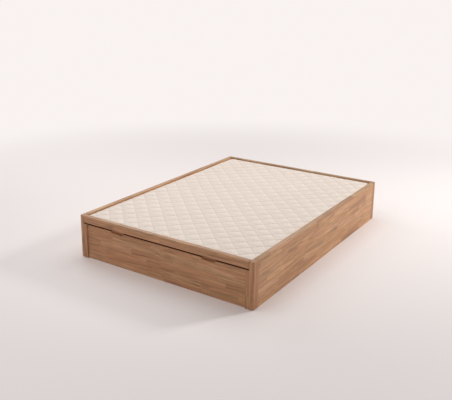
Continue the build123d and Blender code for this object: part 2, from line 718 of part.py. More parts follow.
def square_tube(y0, y1, x):
    """Hollow tube along Y with rounded edges."""
    half = TUBE_W / 2
    tube = block(x - half, x + half, y0, y1, tube_z, tube_z + TUBE_H)
    tube = fillet(tube.edges().filter_by(Axis.Y), TUBE_CORNER_R)
    inner = half - TUBE_WALL
    return tube - block(x - inner, x + inner, y0, y1, tube_z + TUBE_WALL, tube_z + TUBE_H - TUBE_WALL)


def cross_tube(y):
    """Hollow tube along X between the side tubes, centred on y."""
    half = TUBE_W / 2
    tube = block(-tube_inner_x, tube_inner_x, y - half, y + half, tube_z, tube_z + TUBE_H)
    tube = fillet(tube.edges().filter_by(Axis.X), TUBE_CORNER_R)
    inner = half - TUBE_WALL
    bore = block(-tube_inner_x, tube_inner_x, y - inner, y + inner,
                 tube_z + TUBE_WALL, tube_z + TUBE_H - TUBE_WALL)
    return tube - bore


def lid_frame():
    """Steel tube frame of the lid."""
    side = square_tube(rail_back_y, frame_head_y, tube_x - TUBE_W / 2)
    for forward in ARM_BOLT_FORWARD:
        side -= round_z(tube_z, tube_z + TUBE_WALL, ARM_BOLT_R + SCREW_FIT, arm_bolt_x(), hinge_y - forward)
    save_pair("frame_side_tube", side)

    places = spread(rail_back_y + TUBE_W / 2, frame_head_y - TUBE_W / 2, CROSS_TUBES + 2)
    save("frame_foot_tube", drill(cross_tube(places[0]), rail_screws()))
    save("frame_head_tube", cross_tube(places[-1]))
    for index, y in enumerate(places[1:-1], start=1):
        save(f"frame_cross_tube_{index}", cross_tube(y))


def lid_rail():
    """Wooden rail across the foot of the lid, and its screws."""
    half = rim_x - RAIL_END_GAP
    rail = block(-half, half, foot_y, rail_back_y, rail_z, HEIGHT)
    rail = fillet(rail.edges().filter_by(Axis.X), EDGE_R)
    save("lid_rail", drill(rail, rail_screws()))
    save("rail_screws", *[countersunk(*screw) for screw in rail_screws()])


def lid_boards():
    """Two thin boards on the frame, split over the middle cross tube."""
    split = (rail_back_y + frame_head_y) / 2
    half_gap = LID_BOARD_SPLIT / 2
    for node, y0, y1 in (("lid_board_foot", lid_foot_y, split - half_gap),
                         ("lid_board_head", split + half_gap, lid_head_y)):
        save(node, block(-lid_x, lid_x, y0, y1, lid_board_z, pad_z))


def quilt_channels(slope, shift):
    """Stitched channels across the pad along lines x + slope * y = shift, one diamond apart."""
    reach = lid_x + LENGTH / 2
    first = ceil((-reach - shift) / QUILT_DIAGONAL)
    last = ceil((reach - shift) / QUILT_DIAGONAL)
    half = CHANNEL_W / 2
    section = Polygon((-half, 0), (0, -CHANNEL_DEPTH), (half, 0), (half, 1), (-half, 1), align=None)
    channels = []
    for index in range(first, last):
        x = shift + index * QUILT_DIAGONAL
        plane = Plane(origin=(x, 0, pad_z + PAD_T), x_dir=(1, slope, 0), z_dir=(-slope, 1, 0))
        channels.append(extrude(plane * section, 1.5 * reach, both=True))
    return channels


def quilted_pad():
    """Pad with rounded edges and corners and diamond channels."""
    pad = block(-lid_x, lid_x, lid_foot_y, lid_head_y, pad_z, pad_z + PAD_T)
    pad = fillet(pad.edges().filter_by(Axis.Z), PAD_CORNER_R)
    pad = fillet(top_edges(pad), PAD_EDGE_R)
    for slope, shift in ((1, QUILT_SHIFT_SUM), (-1, QUILT_SHIFT_DIFF)):
        pad = pad - quilt_channels(slope, shift)
    save("quilted_pad", pad)


corner_posts()
side_boards()
foot_boards()
head_board()
corner_brackets()
dowels()
floor()
lid_ledges()
mechanism_plate()
pivot_bolt()
hinge_arm()
gas_springs()
spring_pins()
lid_frame()
lid_rail()
lid_boards()
quilted_pad()

rates = spring_rates()
print(f"rod {rates[0]:.3f} mm and cylinder {rates[1]:.4f} rad per radian of lid")
print(f"eye wanders {max(hypot(a, b) for a, b in pin_wander()):.2f} mm from the true pivot")
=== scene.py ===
import json
import math
import random

import bmesh
import bpy
import numpy as np
from mathutils import Matrix, Vector, noise


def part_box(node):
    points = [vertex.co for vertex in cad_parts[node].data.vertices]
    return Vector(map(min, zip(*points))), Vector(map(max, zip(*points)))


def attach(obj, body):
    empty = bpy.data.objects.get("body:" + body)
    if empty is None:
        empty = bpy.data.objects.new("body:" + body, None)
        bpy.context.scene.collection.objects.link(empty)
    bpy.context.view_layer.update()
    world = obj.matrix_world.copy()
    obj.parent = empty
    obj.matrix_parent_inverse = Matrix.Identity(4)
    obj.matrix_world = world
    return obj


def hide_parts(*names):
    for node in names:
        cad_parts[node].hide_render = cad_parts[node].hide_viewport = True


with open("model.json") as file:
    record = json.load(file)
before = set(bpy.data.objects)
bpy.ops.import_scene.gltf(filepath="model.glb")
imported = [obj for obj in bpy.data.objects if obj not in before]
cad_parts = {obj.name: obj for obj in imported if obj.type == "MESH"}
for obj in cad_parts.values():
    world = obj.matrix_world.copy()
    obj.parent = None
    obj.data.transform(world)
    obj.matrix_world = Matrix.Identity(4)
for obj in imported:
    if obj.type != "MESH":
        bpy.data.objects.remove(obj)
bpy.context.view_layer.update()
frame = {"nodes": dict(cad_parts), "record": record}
NODES = frame["nodes"]
SLOT_OF = {part["node"]: part["material_slot"] for part in frame["record"]["subparts"]}

# Camera: place, direction and lens, as read from the seven visible corners of the box
CAMERA_PLACE = Vector((2.4906, -4.0301, 1.9067))
CAMERA_YAW = math.radians(-34.215)
CAMERA_PITCH = math.radians(15.847)
CAMERA_ROLL = math.radians(0.268)
FOCAL_PIXELS = 649.7
IMAGE_WIDTH = 452
IMAGE_HEIGHT = 400
CENTRE_PIXEL = (212.6, 165.8)
SENSOR = 36.0

# Quilt: squares set on their corners, sewn through wadding
DIAMOND = 0.133
SHIFT_SUM = 0.059
SHIFT_DIFFERENCE = 0.015
CELL = DIAMOND / math.sqrt(2)
CELL_STEPS = 10             # mesh steps across one cell
ON_SEAM = 1e-4              # points nearer to a stitch line than this are held by it
PAD_EDGE_R = 0.008
PAD_CORNER_R = 0.022
CORNER_CUTS = 8
SEAM_LIFT = 0.0008          # stitch lines above the wadding
CROWN = 0.0082              # middle of a cell above its stitch lines
CROWN_PERCENTILE = 97
AIR_PRESSURE = 3.0
CLOTH_EASE = -0.008         # the cloth is cut this share larger than its flat place
SWELL_FRAMES = 20
PUCKER = 0.00022
PUCKER_REACH = 0.016
PUCKER_PITCH = 0.011
PUCKER_LENGTH = 0.05
WARP_PITCH = 0.0011
WEFT_PITCH = 0.0013
TWIST_PITCH = 0.0009
STITCH_PITCH = 0.0062
STITCH_LENGTH = 0.0046
STITCH_RADIUS = 0.00042
STITCH_HEIGHT = 0.8         # height of a stitch's middle, in its own radii
STITCH_SLANT = 0.35
STITCH_WANDER = 0.4

# Studio: pale floor and background, and how far out the lit floor turns into the background
PALE = (0.947, 0.890, 0.875)
DOME_STRENGTH = 0.235
DOME_COLOUR = (1.0, 0.985, 0.985)
FLOOR_FADE = (1.4, 4.6)
FLOOR_RADIUS = 60
FLOOR_DROP = 0.0008
SOFT_WHITE = (1.0, 0.99, 0.985)
LAMPS = [
    # name, size, power, azimuth, elevation, distance, colour
    ("key", 0.9, 114, 45, 32, 5.5, (1.0, 0.985, 0.965)),
    ("top", 3.5, 60, 85, 69, 4.5, SOFT_WHITE),
    ("front", 2.4, 25, -114, 60, 3.1, SOFT_WHITE),
    ("left", 2.2, 30, 168, 38, 4.0, SOFT_WHITE),
]

# Wood: where the rim's top faces start, and the tops under the lid's rail, which hardly get light and
# are painted darker as shade
RIM_TOP = 0.3132
RIM_EDGE = 0.0012
RIM_TINT = (0.72, 0.80, 0.87)
FOOT_BOARD_TOP = 0.250
SHOULDER_TOP = 0.256
SHOULDER_EDGE = 0.682
SHOULDER_FADE = (0.0015, 0.0008)
UNDER_RAIL = 0.0006
UNDER_RAIL_SHADE_TINT = (0.30, 0.26, 0.22)

# Staves: height and length on the boards, the longer ones of the rail, and the posts' upright ones
STAVE = (0.0425, 0.34)
RAIL_STAVE = (0.0425, 0.62)
POST_STAVE = (0.034, 0.9)
STAVE_START = 0.004
GLUE_LINE = 0.0005

# Scooped grip in each half of the foot board: half its length, depth and height, and its middle
SCOOP_HALF = (0.055, 0.0165, 0.0150)
SCOOP_FROM_MIDDLE = 0.379
SCOOP_SQUARENESS = 4.0
SCOOP_SUBDIVISIONS = 5
EASED_EDGE = 0.0009
BEVEL_ANGLE = math.radians(35)
SHARP_ANGLE = math.radians(32)


# Shader networks

class Shader:
    """A material's nodes, added one call at a time."""

    def __init__(self, name):
        self.material = bpy.data.materials.new(name)
        self.material.use_nodes = True
        self.tree = self.material.node_tree
        self.tree.nodes.clear()
        self.output = self.tree.nodes.new("ShaderNodeOutputMaterial")

    def put(self, value, socket):
        if isinstance(value, bpy.types.NodeSocket):
            self.tree.links.new(value, socket)
        elif value is not None:
            socket.default_value = value

    def add(self, kind, inputs=(), **settings):
        node = self.tree.nodes.new(kind)
        for name, value in settings.items():
            setattr(node, name, value)
        for name, value in dict(inputs).items():
            self.put(value, node.inputs[name])
        return node

    def math(self, operation, a, b=None, c=None):
        node = self.add("ShaderNodeMath", operation=operation)
        for value, socket in zip((a, b, c), node.inputs):
            self.put(value, socket)
        return node.outputs[0]

    def place(self):
        """Position in the row frame at rest, as three numbers."""
        where = self.add("ShaderNodeTexCoord").outputs["Object"]
        return self.add("ShaderNodeSeparateXYZ", {"Vector": where}).outputs[:3]

    def join(self, x, y, z):
        return self.add("ShaderNodeCombineXYZ", {"X": x, "Y": y, "Z": z}).outputs[0]

    def scaled(self, parts, factors):
        return self.join(*(self.math("MULTIPLY", p, f) for p, f in zip(parts, factors)))

    def shifted(self, vector, other, amount):
        step = self.add("ShaderNodeVectorMath", operation="SCALE")
        self.put(other, step.inputs[0])
        self.put(amount, step.inputs["Scale"])
        total = self.add("ShaderNodeVectorMath", operation="ADD")
        self.put(vector, total.inputs[0])
        self.put(step.outputs[0], total.inputs[1])
        return total.outputs[0]

    def noise(self, vector, scale, detail=3.0, roughness=0.55, distortion=0.0):
        return self.add("ShaderNodeTexNoise", {
            "Vector": vector, "Scale": scale, "Detail": detail,
            "Roughness": roughness, "Distortion": distortion,
        }).outputs["Fac"]

    def cells(self, vector, scale, feature="F1", output="Distance"):
        return self.add("ShaderNodeTexVoronoi", {"Vector": vector, "Scale": scale},
                        feature=feature).outputs[output]

    def random(self, vector):
        node = self.add("ShaderNodeTexWhiteNoise", {"Vector": vector}, noise_dimensions="3D")
        return node.outputs["Value"], node.outputs["Color"]

    def rise(self, value, low, high, start=0.0, end=1.0):
        """A smooth rise from start to end as value goes from low to high."""
        return self.add("ShaderNodeMapRange", {
            "Value": value, "From Min": low, "From Max": high, "To Min": start, "To Max": end,
        }, interpolation_type="SMOOTHSTEP").outputs[0]

    def ramp(self, value, stops):
        node = self.add("ShaderNodeValToRGB", {"Fac": value})
        points = node.color_ramp.elements
        while len(points) < len(stops):
            points.new(0.5)
        for point, (position, colour) in zip(points, stops):
            point.position = position
            point.color = (*colour, 1.0)
        return node.outputs["Color"]

    def mix(self, amount, a, b, blend="MIX"):
        node = self.add("ShaderNodeMix", data_type="RGBA", blend_type=blend)
        self.put(amount, node.inputs["Factor"])
        for value, socket in ((a, node.inputs[6]), (b, node.inputs[7])):
            self.put((*value, 1.0) if isinstance(value, tuple) else value, socket)
        return node.outputs[2]

    def shade(self, colour, amount):
        """The colour times a grey amount."""
        grey = self.join(amount, amount, amount)
        return self.mix(1.0, colour, grey, "MULTIPLY")

    def bump(self, height, strength, distance):
        return self.add("ShaderNodeBump", {
            "Height": height, "Strength": strength, "Distance": distance,
        }).outputs["Normal"]

    def surface(self, colour, roughness, normal=None, **settings):
        shader = self.add("ShaderNodeBsdfPrincipled")
        self.put((*colour, 1.0) if isinstance(colour, tuple) else colour, shader.inputs["Base Color"])
        self.put(roughness, shader.inputs["Roughness"])
        self.put(normal, shader.inputs["Normal"])
        for name, value in settings.items():
            self.put(value, shader.inputs[name.replace("_", " ")])
        self.put(shader.outputs[0], self.output.inputs["Surface"])
        return self.material


# Wood

OAK_TONES = [
    (0.00, (0.395, 0.205, 0.112)),
    (0.22, (0.490, 0.262, 0.145)),
    (0.45, (0.545, 0.300, 0.172)),
    (0.68, (0.585, 0.340, 0.205)),
    (0.86, (0.545, 0.318, 0.172)),
    (1.00, (0.640, 0.395, 0.248)),
]


def staved_wood(name, grain, rows, stave, seed, spread=0.75, tint=(1.0, 1.0, 1.0), shade_painted_above=None):
    """Solid wood glued up from staves: grain is the axis they run along, rows the one they stack on."""
    s = Shader(name)
    stave_height, stave_length = stave
    axes = dict(zip("xyz", s.place()))
    along = axes[grain]
    across = axes[rows]
    depth = axes[({"x", "y", "z"} - {grain, rows}).pop()]
    side = s.math("FLOOR", axes["x"])

    # Which stave a point is in, and a random number and direction for it
    row_place = s.math("DIVIDE", s.math("ADD", across, STAVE_START), stave_height)
    row = s.math("FLOOR", row_place)
    row_value, _ = s.random(s.join(row, side, seed))
    reach = s.math("MULTIPLY_ADD", row_value, 0.5, 0.75)
    staves_along = s.math("DIVIDE", along, s.math("MULTIPLY", reach, stave_length))
    column_place = s.math("MULTIPLY_ADD", row_value, 17.0, staves_along)
    column = s.math("FLOOR", column_place)
    value, colour = s.random(s.join(row, column, s.math("ADD", side, seed)))
    own = s.add("ShaderNodeSeparateColor", {"Color": colour}).outputs

    # Annual rings, cut at a different slant in each stave
    slant = s.math("MULTIPLY_ADD", own[0], 0.10, -0.05)
    level = s.math("MULTIPLY_ADD", along, slant, across)

    def grained(along_scale, across_scale, shift):
        """A place in the stave's own wood, drawn out along the grain."""
        place = s.scaled((along, level, depth), (along_scale, across_scale, across_scale))
        return s.shifted(place, colour, shift)

    swell = s.noise(grained(0.10, 1.0, 9.0), 17.0, 2.0, 0.45)
    rings = s.math("SINE", s.math("MULTIPLY", swell, 58.0))
    fibres = s.noise(grained(11.0, 330.0, 40.0), 1.0, 4.0, 0.6)
    pores = s.rise(s.noise(grained(55.0, 1300.0, 60.0), 1.0, 2.0, 0.5), 0.60, 0.72)
    streaks = s.noise(grained(6.5, 62.0, 25.0), 1.0, 3.0, 0.5)
    gate = s.rise(own[1], 0.45, 0.9)
    streaks = s.math("MULTIPLY", s.rise(streaks, 0.52, 0.72), gate)
    patches = s.noise(s.scaled((along, across, depth), (1.6, 5.0, 5.0)), 1.0, 2.0, 0.5)
    bands = s.noise(grained(3.4, 82.0, 31.0), 1.0, 3.0, 0.6)
    hue = s.noise(grained(2.4, 30.0, 13.0), 1.0, 3.0, 0.6)

    # Glue lines between the staves
    row_edge = s.math("MULTIPLY", s.math("PINGPONG", row_place, 0.5), stave_height)
    column_edge = s.math("MULTIPLY", s.math("PINGPONG", column_place, 0.5), stave_length)
    joint = s.math("MINIMUM", s.rise(row_edge, 0.0, GLUE_LINE), s.rise(column_edge, 0.0, GLUE_LINE))

    tone = s.math("MULTIPLY_ADD", s.math("SUBTRACT", value, 0.5), spread, 0.5)
    tone = s.math("ADD", tone, s.math("MULTIPLY_ADD", patches, 0.5, -0.25))
    base = s.ramp(tone, OAK_TONES)
    base = s.mix(s.math("MULTIPLY", own[2], 0.35), base, (0.60, 0.30, 0.135))
    base = s.mix(s.rise(hue, 0.50, 0.68, 0.0, 0.42), base, (0.63, 0.41, 0.215))
    base = s.mix(s.rise(hue, 0.32, 0.50, 0.36, 0.0), base, (0.50, 0.235, 0.130))
    base = s.shade(base, s.rise(bands, 0.30, 0.70, 0.79, 1.18))
    base = s.shade(base, s.math("MULTIPLY_ADD", rings, 0.045, 0.985))
    base = s.shade(base, s.math("MULTIPLY_ADD", fibres, 0.34, 0.83))
    base = s.mix(s.math("MULTIPLY", streaks, 0.62), base, (0.235, 0.125, 0.070))
    base = s.mix(s.math("MULTIPLY", pores, 0.40), base, (0.20, 0.105, 0.060))
    base = s.shade(base, s.math("MULTIPLY_ADD", joint, 0.22, 0.78))
    base = s.mix(1.0, base, tint, "MULTIPLY")
    top = s.rise(axes["z"], RIM_TOP, RIM_TOP + RIM_EDGE)
    base = s.mix(top, base, s.mix(1.0, base, RIM_TINT, "MULTIPLY"))
    # Painted shade: the tops under the lid's rail, and the last fraction of a millimetre of the face
    # below, are darkened because they hardly get light
    if shade_painted_above:
        start, end = (SHOULDER_EDGE - fade for fade in SHOULDER_FADE)
        inside = s.rise(s.math("ABSOLUTE", axes["x"]), start, end, 1.0, 0.0)
        above = s.rise(axes["z"], shade_painted_above - UNDER_RAIL, shade_painted_above - UNDER_RAIL / 2)
        under = s.math("MULTIPLY", inside, above)
        base = s.mix(under, base, s.mix(1.0, base, UNDER_RAIL_SHADE_TINT, "MULTIPLY"))

    height = s.math("MULTIPLY_ADD", fibres, 0.5, s.math("MULTIPLY", pores, -0.55))
    height = s.math("MULTIPLY_ADD", rings, 0.10, height)
    height = s.math("MULTIPLY_ADD", joint, 0.35, height)
    gloss = s.math("MULTIPLY_ADD", fibres, -0.22, 0.64)
    gloss = s.math("MULTIPLY_ADD", pores, 0.15, gloss)
    return s.surface(base, gloss, s.bump(height, 0.30, 0.0006), Specular_IOR_Level=0.32)


def planed_softwood(name, grain, seed):
    """Raw softwood for the pieces inside the box: rings along the grain and a few small knots."""
    s = Shader(name)
    axes = dict(zip("xyz", s.place()))
    others = sorted({"x", "y", "z"} - {grain})
    parts = (axes[grain], axes[others[0]], axes[others[1]])
    start = s.join(seed, seed * 0.7, seed * 1.3)
    swell = s.noise(s.shifted(s.scaled(parts, (0.08, 1.0, 1.0)), start, 1.0), 11.0, 2.0, 0.45, 0.4)
    rings = s.math("SINE", s.math("MULTIPLY", swell, 95.0))
    fibres = s.noise(s.scaled(parts, (14.0, 420.0, 420.0)), 1.0, 3.0, 0.6)
    knots = s.cells(s.shifted(s.scaled(parts, (2.2, 9.0, 9.0)), start, 1.0), 1.0)
    knots = s.rise(knots, 0.07, 0.16, 1.0, 0.0)
    tones = [(0.0, (0.66, 0.47, 0.28)), (1.0, (0.76, 0.59, 0.39))]
    base = s.ramp(s.math("MULTIPLY_ADD", rings, 0.5, 0.5), tones)
    base = s.shade(base, s.math("MULTIPLY_ADD", fibres, 0.22, 0.87))
    base = s.mix(s.math("MULTIPLY", knots, 0.75), base, (0.24, 0.115, 0.05))
    height = s.math("MULTIPLY_ADD", fibres, 0.6, s.math("MULTIPLY", rings, 0.2))
    return s.surface(base, s.math("MULTIPLY_ADD", fibres, 0.15, 0.62), s.bump(height, 0.35, 0.0005),
                     Specular_IOR_Level=0.3)


def fibreboard(name, light, dark, fleck, gloss):
    """Pressed board: soft mottling and fine flecks of fibre."""
    s = Shader(name)
    x, y, z = s.place()
    mottle = s.noise(s.join(x, y, z), 9.0, 4.0, 0.6)
    flecks = s.noise(s.scaled((x, y, z), (260.0, 420.0, 300.0)), 1.0, 3.0, 0.65, 1.2)
    specks = s.rise(flecks, 0.62, 0.74)
    base = s.mix(s.rise(mottle, 0.30, 0.70), dark, light)
    base = s.mix(s.math("MULTIPLY", specks, 0.45), base, fleck)
    base = s.shade(base, s.math("MULTIPLY_ADD", flecks, 0.16, 0.92))
    return s.surface(base, s.math("MULTIPLY_ADD", mottle, 0.12, gloss), s.bump(flecks, 0.20, 0.0003),
                     Specular_IOR_Level=0.35)


# Metal, rubber and paint

def powder_coat(name, colour, gloss):
    """Painted steel with the fine ripple of a baked coat and a little dust."""
    s = Shader(name)
    x, y, z = s.place()
    ripple = s.noise(s.join(x, y, z), 620.0, 2.0, 0.5)
    dust = s.noise(s.join(x, y, z), 14.0, 5.0, 0.65)
    base = s.mix(s.rise(dust, 0.52, 0.80), colour, tuple(c * 1.45 + 0.012 for c in colour))
    rough = s.math("MULTIPLY_ADD", dust, 0.22, gloss)
    return s.surface(base, rough, s.bump(ripple, 0.22, 0.0003), Specular_IOR_Level=0.5)


def zinc_plate(name):
    """Bright zinc: rolled lines, faint cloudy patches and a slightly warm passivation."""
    s = Shader(name)
    x, y, z = s.place()
    cloud = s.noise(s.join(x, y, z), 55.0, 4.0, 0.6)
    lines = s.noise(s.scaled((x, y, z), (900.0, 160.0, 900.0)), 1.0, 2.0, 0.5)
    tones = [(0.30, (0.50, 0.51, 0.53)), (0.55, (0.66, 0.66, 0.65)), (0.80, (0.72, 0.70, 0.64))]
    base = s.ramp(cloud, tones)
    rough = s.math("MULTIPLY_ADD", cloud, 0.28, 0.20)
    return s.surface(base, rough, s.bump(lines, 0.12, 0.0002), Metallic=1.0)


def chrome(name):
    """Ground and chromed rod with a faint haze."""
    s = Shader(name)
    x, y, z = s.place()
    haze = s.noise(s.join(x, y, z), 90.0, 3.0, 0.5)
    base = s.mix(haze, (0.74, 0.75, 0.77), (0.82, 0.82, 0.83))
    rough = s.math("MULTIPLY_ADD", haze, 0.09, 0.045)
    return s.surface(base, rough, s.bump(haze, 0.03, 0.0002), Metallic=1.0)


def rubber(name):
    s = Shader(name)
    x, y, z = s.place()
    grit = s.noise(s.join(x, y, z), 900.0, 3.0, 0.6)
    dust = s.noise(s.join(x, y, z), 40.0, 4.0, 0.6)
    base = s.mix(s.rise(dust, 0.45, 0.8), (0.028, 0.028, 0.029), (0.070, 0.068, 0.064))
    return s.surface(base, s.math("MULTIPLY_ADD", grit, 0.2, 0.68), s.bump(grit, 0.3, 0.0002))


# Cloth

def seam_distance(s, x, y):
    """Distance to the nearest stitch line of each family."""
    total = s.math("ADD", x, y)
    difference = s.math("SUBTRACT", x, y)
    near = []
    for value, shift in ((total, SHIFT_SUM), (difference, SHIFT_DIFFERENCE)):
        across = s.math("MULTIPLY", s.math("SUBTRACT", value, shift), 1 / math.sqrt(2))
        near.append(s.math("PINGPONG", across, CELL / 2))
    return near


def quilted_cloth(name):
    """Cream damask: a fine weave, faint tone-on-tone leaves, and painted shade in the grooves along the
    stitch lines.
    """
    s = Shader(name)
    x, y, z = s.place()
    near_sum, near_difference = seam_distance(s, x, y)
    warp = s.math("SINE", s.math("MULTIPLY", x, 2 * math.pi / WARP_PITCH))
    weft = s.math("SINE", s.math("MULTIPLY", y, 2 * math.pi / WEFT_PITCH))
    weave = s.math("MULTIPLY", warp, weft)
    slubs = s.noise(s.scaled((x, y, z), (900.0, 90.0, 300.0)), 1.0, 3.0, 0.6)
    clouds = s.noise(s.join(x, y, z), 3.2, 4.0, 0.55)
    leaf = s.noise(s.join(x, y, 0.0), 42.0, 1.0, 0.4, 1.6)
    leaf = s.rise(s.math("ABSOLUTE", s.math("SUBTRACT", leaf, 0.5)), 0.030, 0.050, 1.0, 0.0)
    # Painted shade: the colour darkens towards the stitch lines of both families, over a wider band
    # along the lines of x minus y
    painted_shade_sum = s.rise(near_sum, 0.0, 0.005, 0.85, 0.0)
    painted_shade_difference = s.rise(near_difference, 0.0005, 0.0095, 1.0, 0.0)
    painted_seam_shade = s.math("MAXIMUM", painted_shade_sum, painted_shade_difference)
    base = s.mix(clouds, (0.800, 0.690, 0.610), (0.850, 0.755, 0.680))
    base = s.shade(base, s.math("MULTIPLY_ADD", slubs, 0.10, 0.95))
    base = s.shade(base, s.math("MULTIPLY_ADD", weave, 0.018, 0.99))
    base = s.shade(base, s.math("MULTIPLY_ADD", leaf, 0.025, 0.985))
    base = s.mix(s.math("MULTIPLY", painted_seam_shade, 0.50), base, (0.52, 0.41, 0.32))
    height = s.math("MULTIPLY_ADD", weave, 0.35, s.math("MULTIPLY", leaf, 0.5))
    height = s.math("MULTIPLY_ADD", slubs, 0.5, height)
    return s.surface(base, 0.88, s.bump(height, 0.35, 0.0004), Specular_IOR_Level=0.2,
                     Sheen_Weight=0.12, Sheen_Roughness=0.5)


def thread(name):
    s = Shader(name)
    x, y, z = s.place()
    along = s.math("ADD", s.math("ADD", x, y), z)
    twist = s.math("SINE", s.math("MULTIPLY", along, 2 * math.pi / TWIST_PITCH))
    base = s.mix(s.math("MULTIPLY_ADD", twist, 0.5, 0.5), (0.60, 0.50, 0.41), (0.76, 0.67, 0.58))
    return s.surface(base, 0.6, s.bump(twist, 0.4, 0.0002), Specular_IOR_Level=0.35)


def fit(node, material):
    """Gives a CAD node its finish."""
    slots = NODES[node].material_slots
    if not slots:
        NODES[node].data.materials.append(material)
    for slot in slots:
        slot.material = material


def dress_nodes():
    """Every CAD node but the pad gets the finish of its own slot. Returns the foot board's wood."""
    finish = {
        # The tints set each wood's tone; the side boards' tint is also cooler and less red than the
        # foot's, a painted sheen standing in for the grazing reflection on them
        "side_wood": staved_wood("oak_sides", "y", "z", STAVE, 3.0, tint=(1.13, 1.14, 1.12)),
        "foot_wood": staved_wood("oak_foot", "x", "z", STAVE, 11.0, tint=(1.11, 1.05, 0.99),
                                 shade_painted_above=FOOT_BOARD_TOP),
        "rail_wood": staved_wood("oak_rail", "x", "z", RAIL_STAVE, 19.0, spread=0.35,
                                 tint=(1.13, 1.10, 1.08)),
        "post_wood": staved_wood("oak_posts", "z", "y", POST_STAVE, 27.0, spread=0.45,
                                 tint=(0.98, 0.91, 0.87), shade_painted_above=SHOULDER_TOP),
        "floor_panel": fibreboard("floor_board", (0.70, 0.58, 0.44), (0.62, 0.50, 0.37),
                                  (0.42, 0.31, 0.21), 0.45),
        "lid_panel": fibreboard("lid_board", (0.44, 0.29, 0.17), (0.36, 0.23, 0.13),
                                (0.20, 0.12, 0.065), 0.50),
        "dowel_wood": planed_softwood("beech_dowels", "x", 5.0),
        "frame_steel": powder_coat("grey_coat", (0.085, 0.088, 0.095), 0.38),
        "mechanism_steel": powder_coat("black_coat", (0.030, 0.030, 0.032), 0.34),
        "spring_black": powder_coat("gloss_black", (0.012, 0.012, 0.013), 0.16),
        "zinc": zinc_plate("zinc"),
        "rod_chrome": chrome("chrome"),
        "rubber": rubber("rubber"),
    }
    softwood = {axis: planed_softwood("softwood_" + axis, axis, seed)
                for axis, seed in (("x", 2.0), ("y", 7.0), ("z", 12.0))}
    head = staved_wood("oak_head", "x", "z", STAVE, 41.0, tint=(0.98, 1.06, 1.10))
    for node, slot in SLOT_OF.items():
        if slot == "quilt_fabric":
            continue
        if slot == "inner_wood":
            low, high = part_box(node)
            size = high - low
            longest = max(range(3), key=lambda i: size[i])
            fit(node, softwood["xyz"[longest]])
        else:
            fit(node, head if node == "head_board" else finish[slot])
    return finish["foot_wood"]


# Foot board

def scoop(middle):
    """A closed mesh of the scooped grip: straight along the board with round ends."""
    tool = bmesh.new()
    bmesh.ops.create_icosphere(tool, subdivisions=SCOOP_SUBDIVISIONS, radius=1.0)
    for vert in tool.verts:
        x, y, z = vert.co
        power = SCOOP_SQUARENESS
        flatness = (abs(x) ** power + (y * y + z * z) ** (power / 2)) ** (1 / power)
        unit = vert.co / flatness
        vert.co = middle + Vector(unit[i] * SCOOP_HALF[i] for i in range(3))
    mesh = bpy.data.meshes.new("scoop")
    tool.to_mesh(mesh)
    tool.free()
    return mesh


def foot_boards(wood):
    """Both halves of the foot board: top below the posts' shoulders, eased edges and a scooped grip."""
    for node, side in (("foot_board_left", -1), ("foot_board_right", 1)):
        low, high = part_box(node)
        body = bmesh.new()
        bmesh.ops.create_cube(body, size=1.0)
        size = Vector((high.x - low.x, high.y - low.y, FOOT_BOARD_TOP - low.z))
        middle = Vector(((low.x + high.x) / 2, (low.y + high.y) / 2, (low.z + FOOT_BOARD_TOP) / 2))
        for vert in body.verts:
            vert.co = middle + Vector(vert.co[i] * size[i] for i in range(3))
        mesh = bpy.data.meshes.new(node + "_shape")
        body.to_mesh(mesh)
        body.free()
        board = bpy.data.objects.new("scooped_" + node, mesh)
        grip = Vector((side * SCOOP_FROM_MIDDLE, low.y, FOOT_BOARD_TOP))
        tool = bpy.data.objects.new("tool", scoop(grip))
        bpy.context.scene.collection.objects.link(board)
        bpy.context.scene.collection.objects.link(tool)
        cut = board.modifiers.new("scoop", "BOOLEAN")
        cut.operation = "DIFFERENCE"
        cut.solver = "EXACT"
        cut.object = tool
        ease = board.modifiers.new("ease", "BEVEL")
        ease.width = EASED_EDGE
        ease.segments = 2
        ease.limit_method = "ANGLE"
        ease.angle_limit = BEVEL_ANGLE
        applied(board)
        bpy.data.objects.remove(tool)
        board.data.polygons.foreach_set("use_smooth", [True] * len(board.data.polygons))
        board.data.set_sharp_from_angle(angle=SHARP_ANGLE)
        board.data.materials.clear()
        board.data.materials.append(wood)
        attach(board, "box")
        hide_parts(node)


# Quilted pad

def cloth_points():
    """The pad's cloth laid flat, as a grid along the stitch lines, cut to the unfolded outline."""
    low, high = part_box("quilted_pad")
    centre = (low + high) / 2
    fold = math.pi * PAD_EDGE_R / 2
    reach = fold + (high.z - low.z) - PAD_EDGE_R
    half_x = (high.x - low.x) / 2 - PAD_EDGE_R + reach
    half_y = (high.y - low.y) / 2 - PAD_EDGE_R + reach
    step = CELL / CELL_STEPS
    count = int((half_x + half_y) / math.sqrt(2) / step) + 2
    steps = np.arange(-count, count + 1)
    u, v = np.meshgrid(steps * step, steps * step, indexing="ij")
    x = ((u + v) * math.sqrt(2) + SHIFT_SUM + SHIFT_DIFFERENCE) / 2
    y = ((u - v) * math.sqrt(2) + SHIFT_SUM - SHIFT_DIFFERENCE) / 2
    inside = (abs(x - centre.x) < half_x + 2 * step) & (abs(y - centre.y) < half_y + 2 * step)
    index = -np.ones(x.shape, int)
    index[inside] = np.arange(inside.sum())
    quads = np.stack([index[:-1, :-1], index[:-1, 1:], index[1:, 1:], index[1:, :-1]], -1).reshape(-1, 4)
    quads = quads[(quads >= 0).all(1)]
    points = np.stack([x[inside], y[inside], np.zeros(inside.sum())], -1)
    return points, quads, centre, half_x, half_y, reach


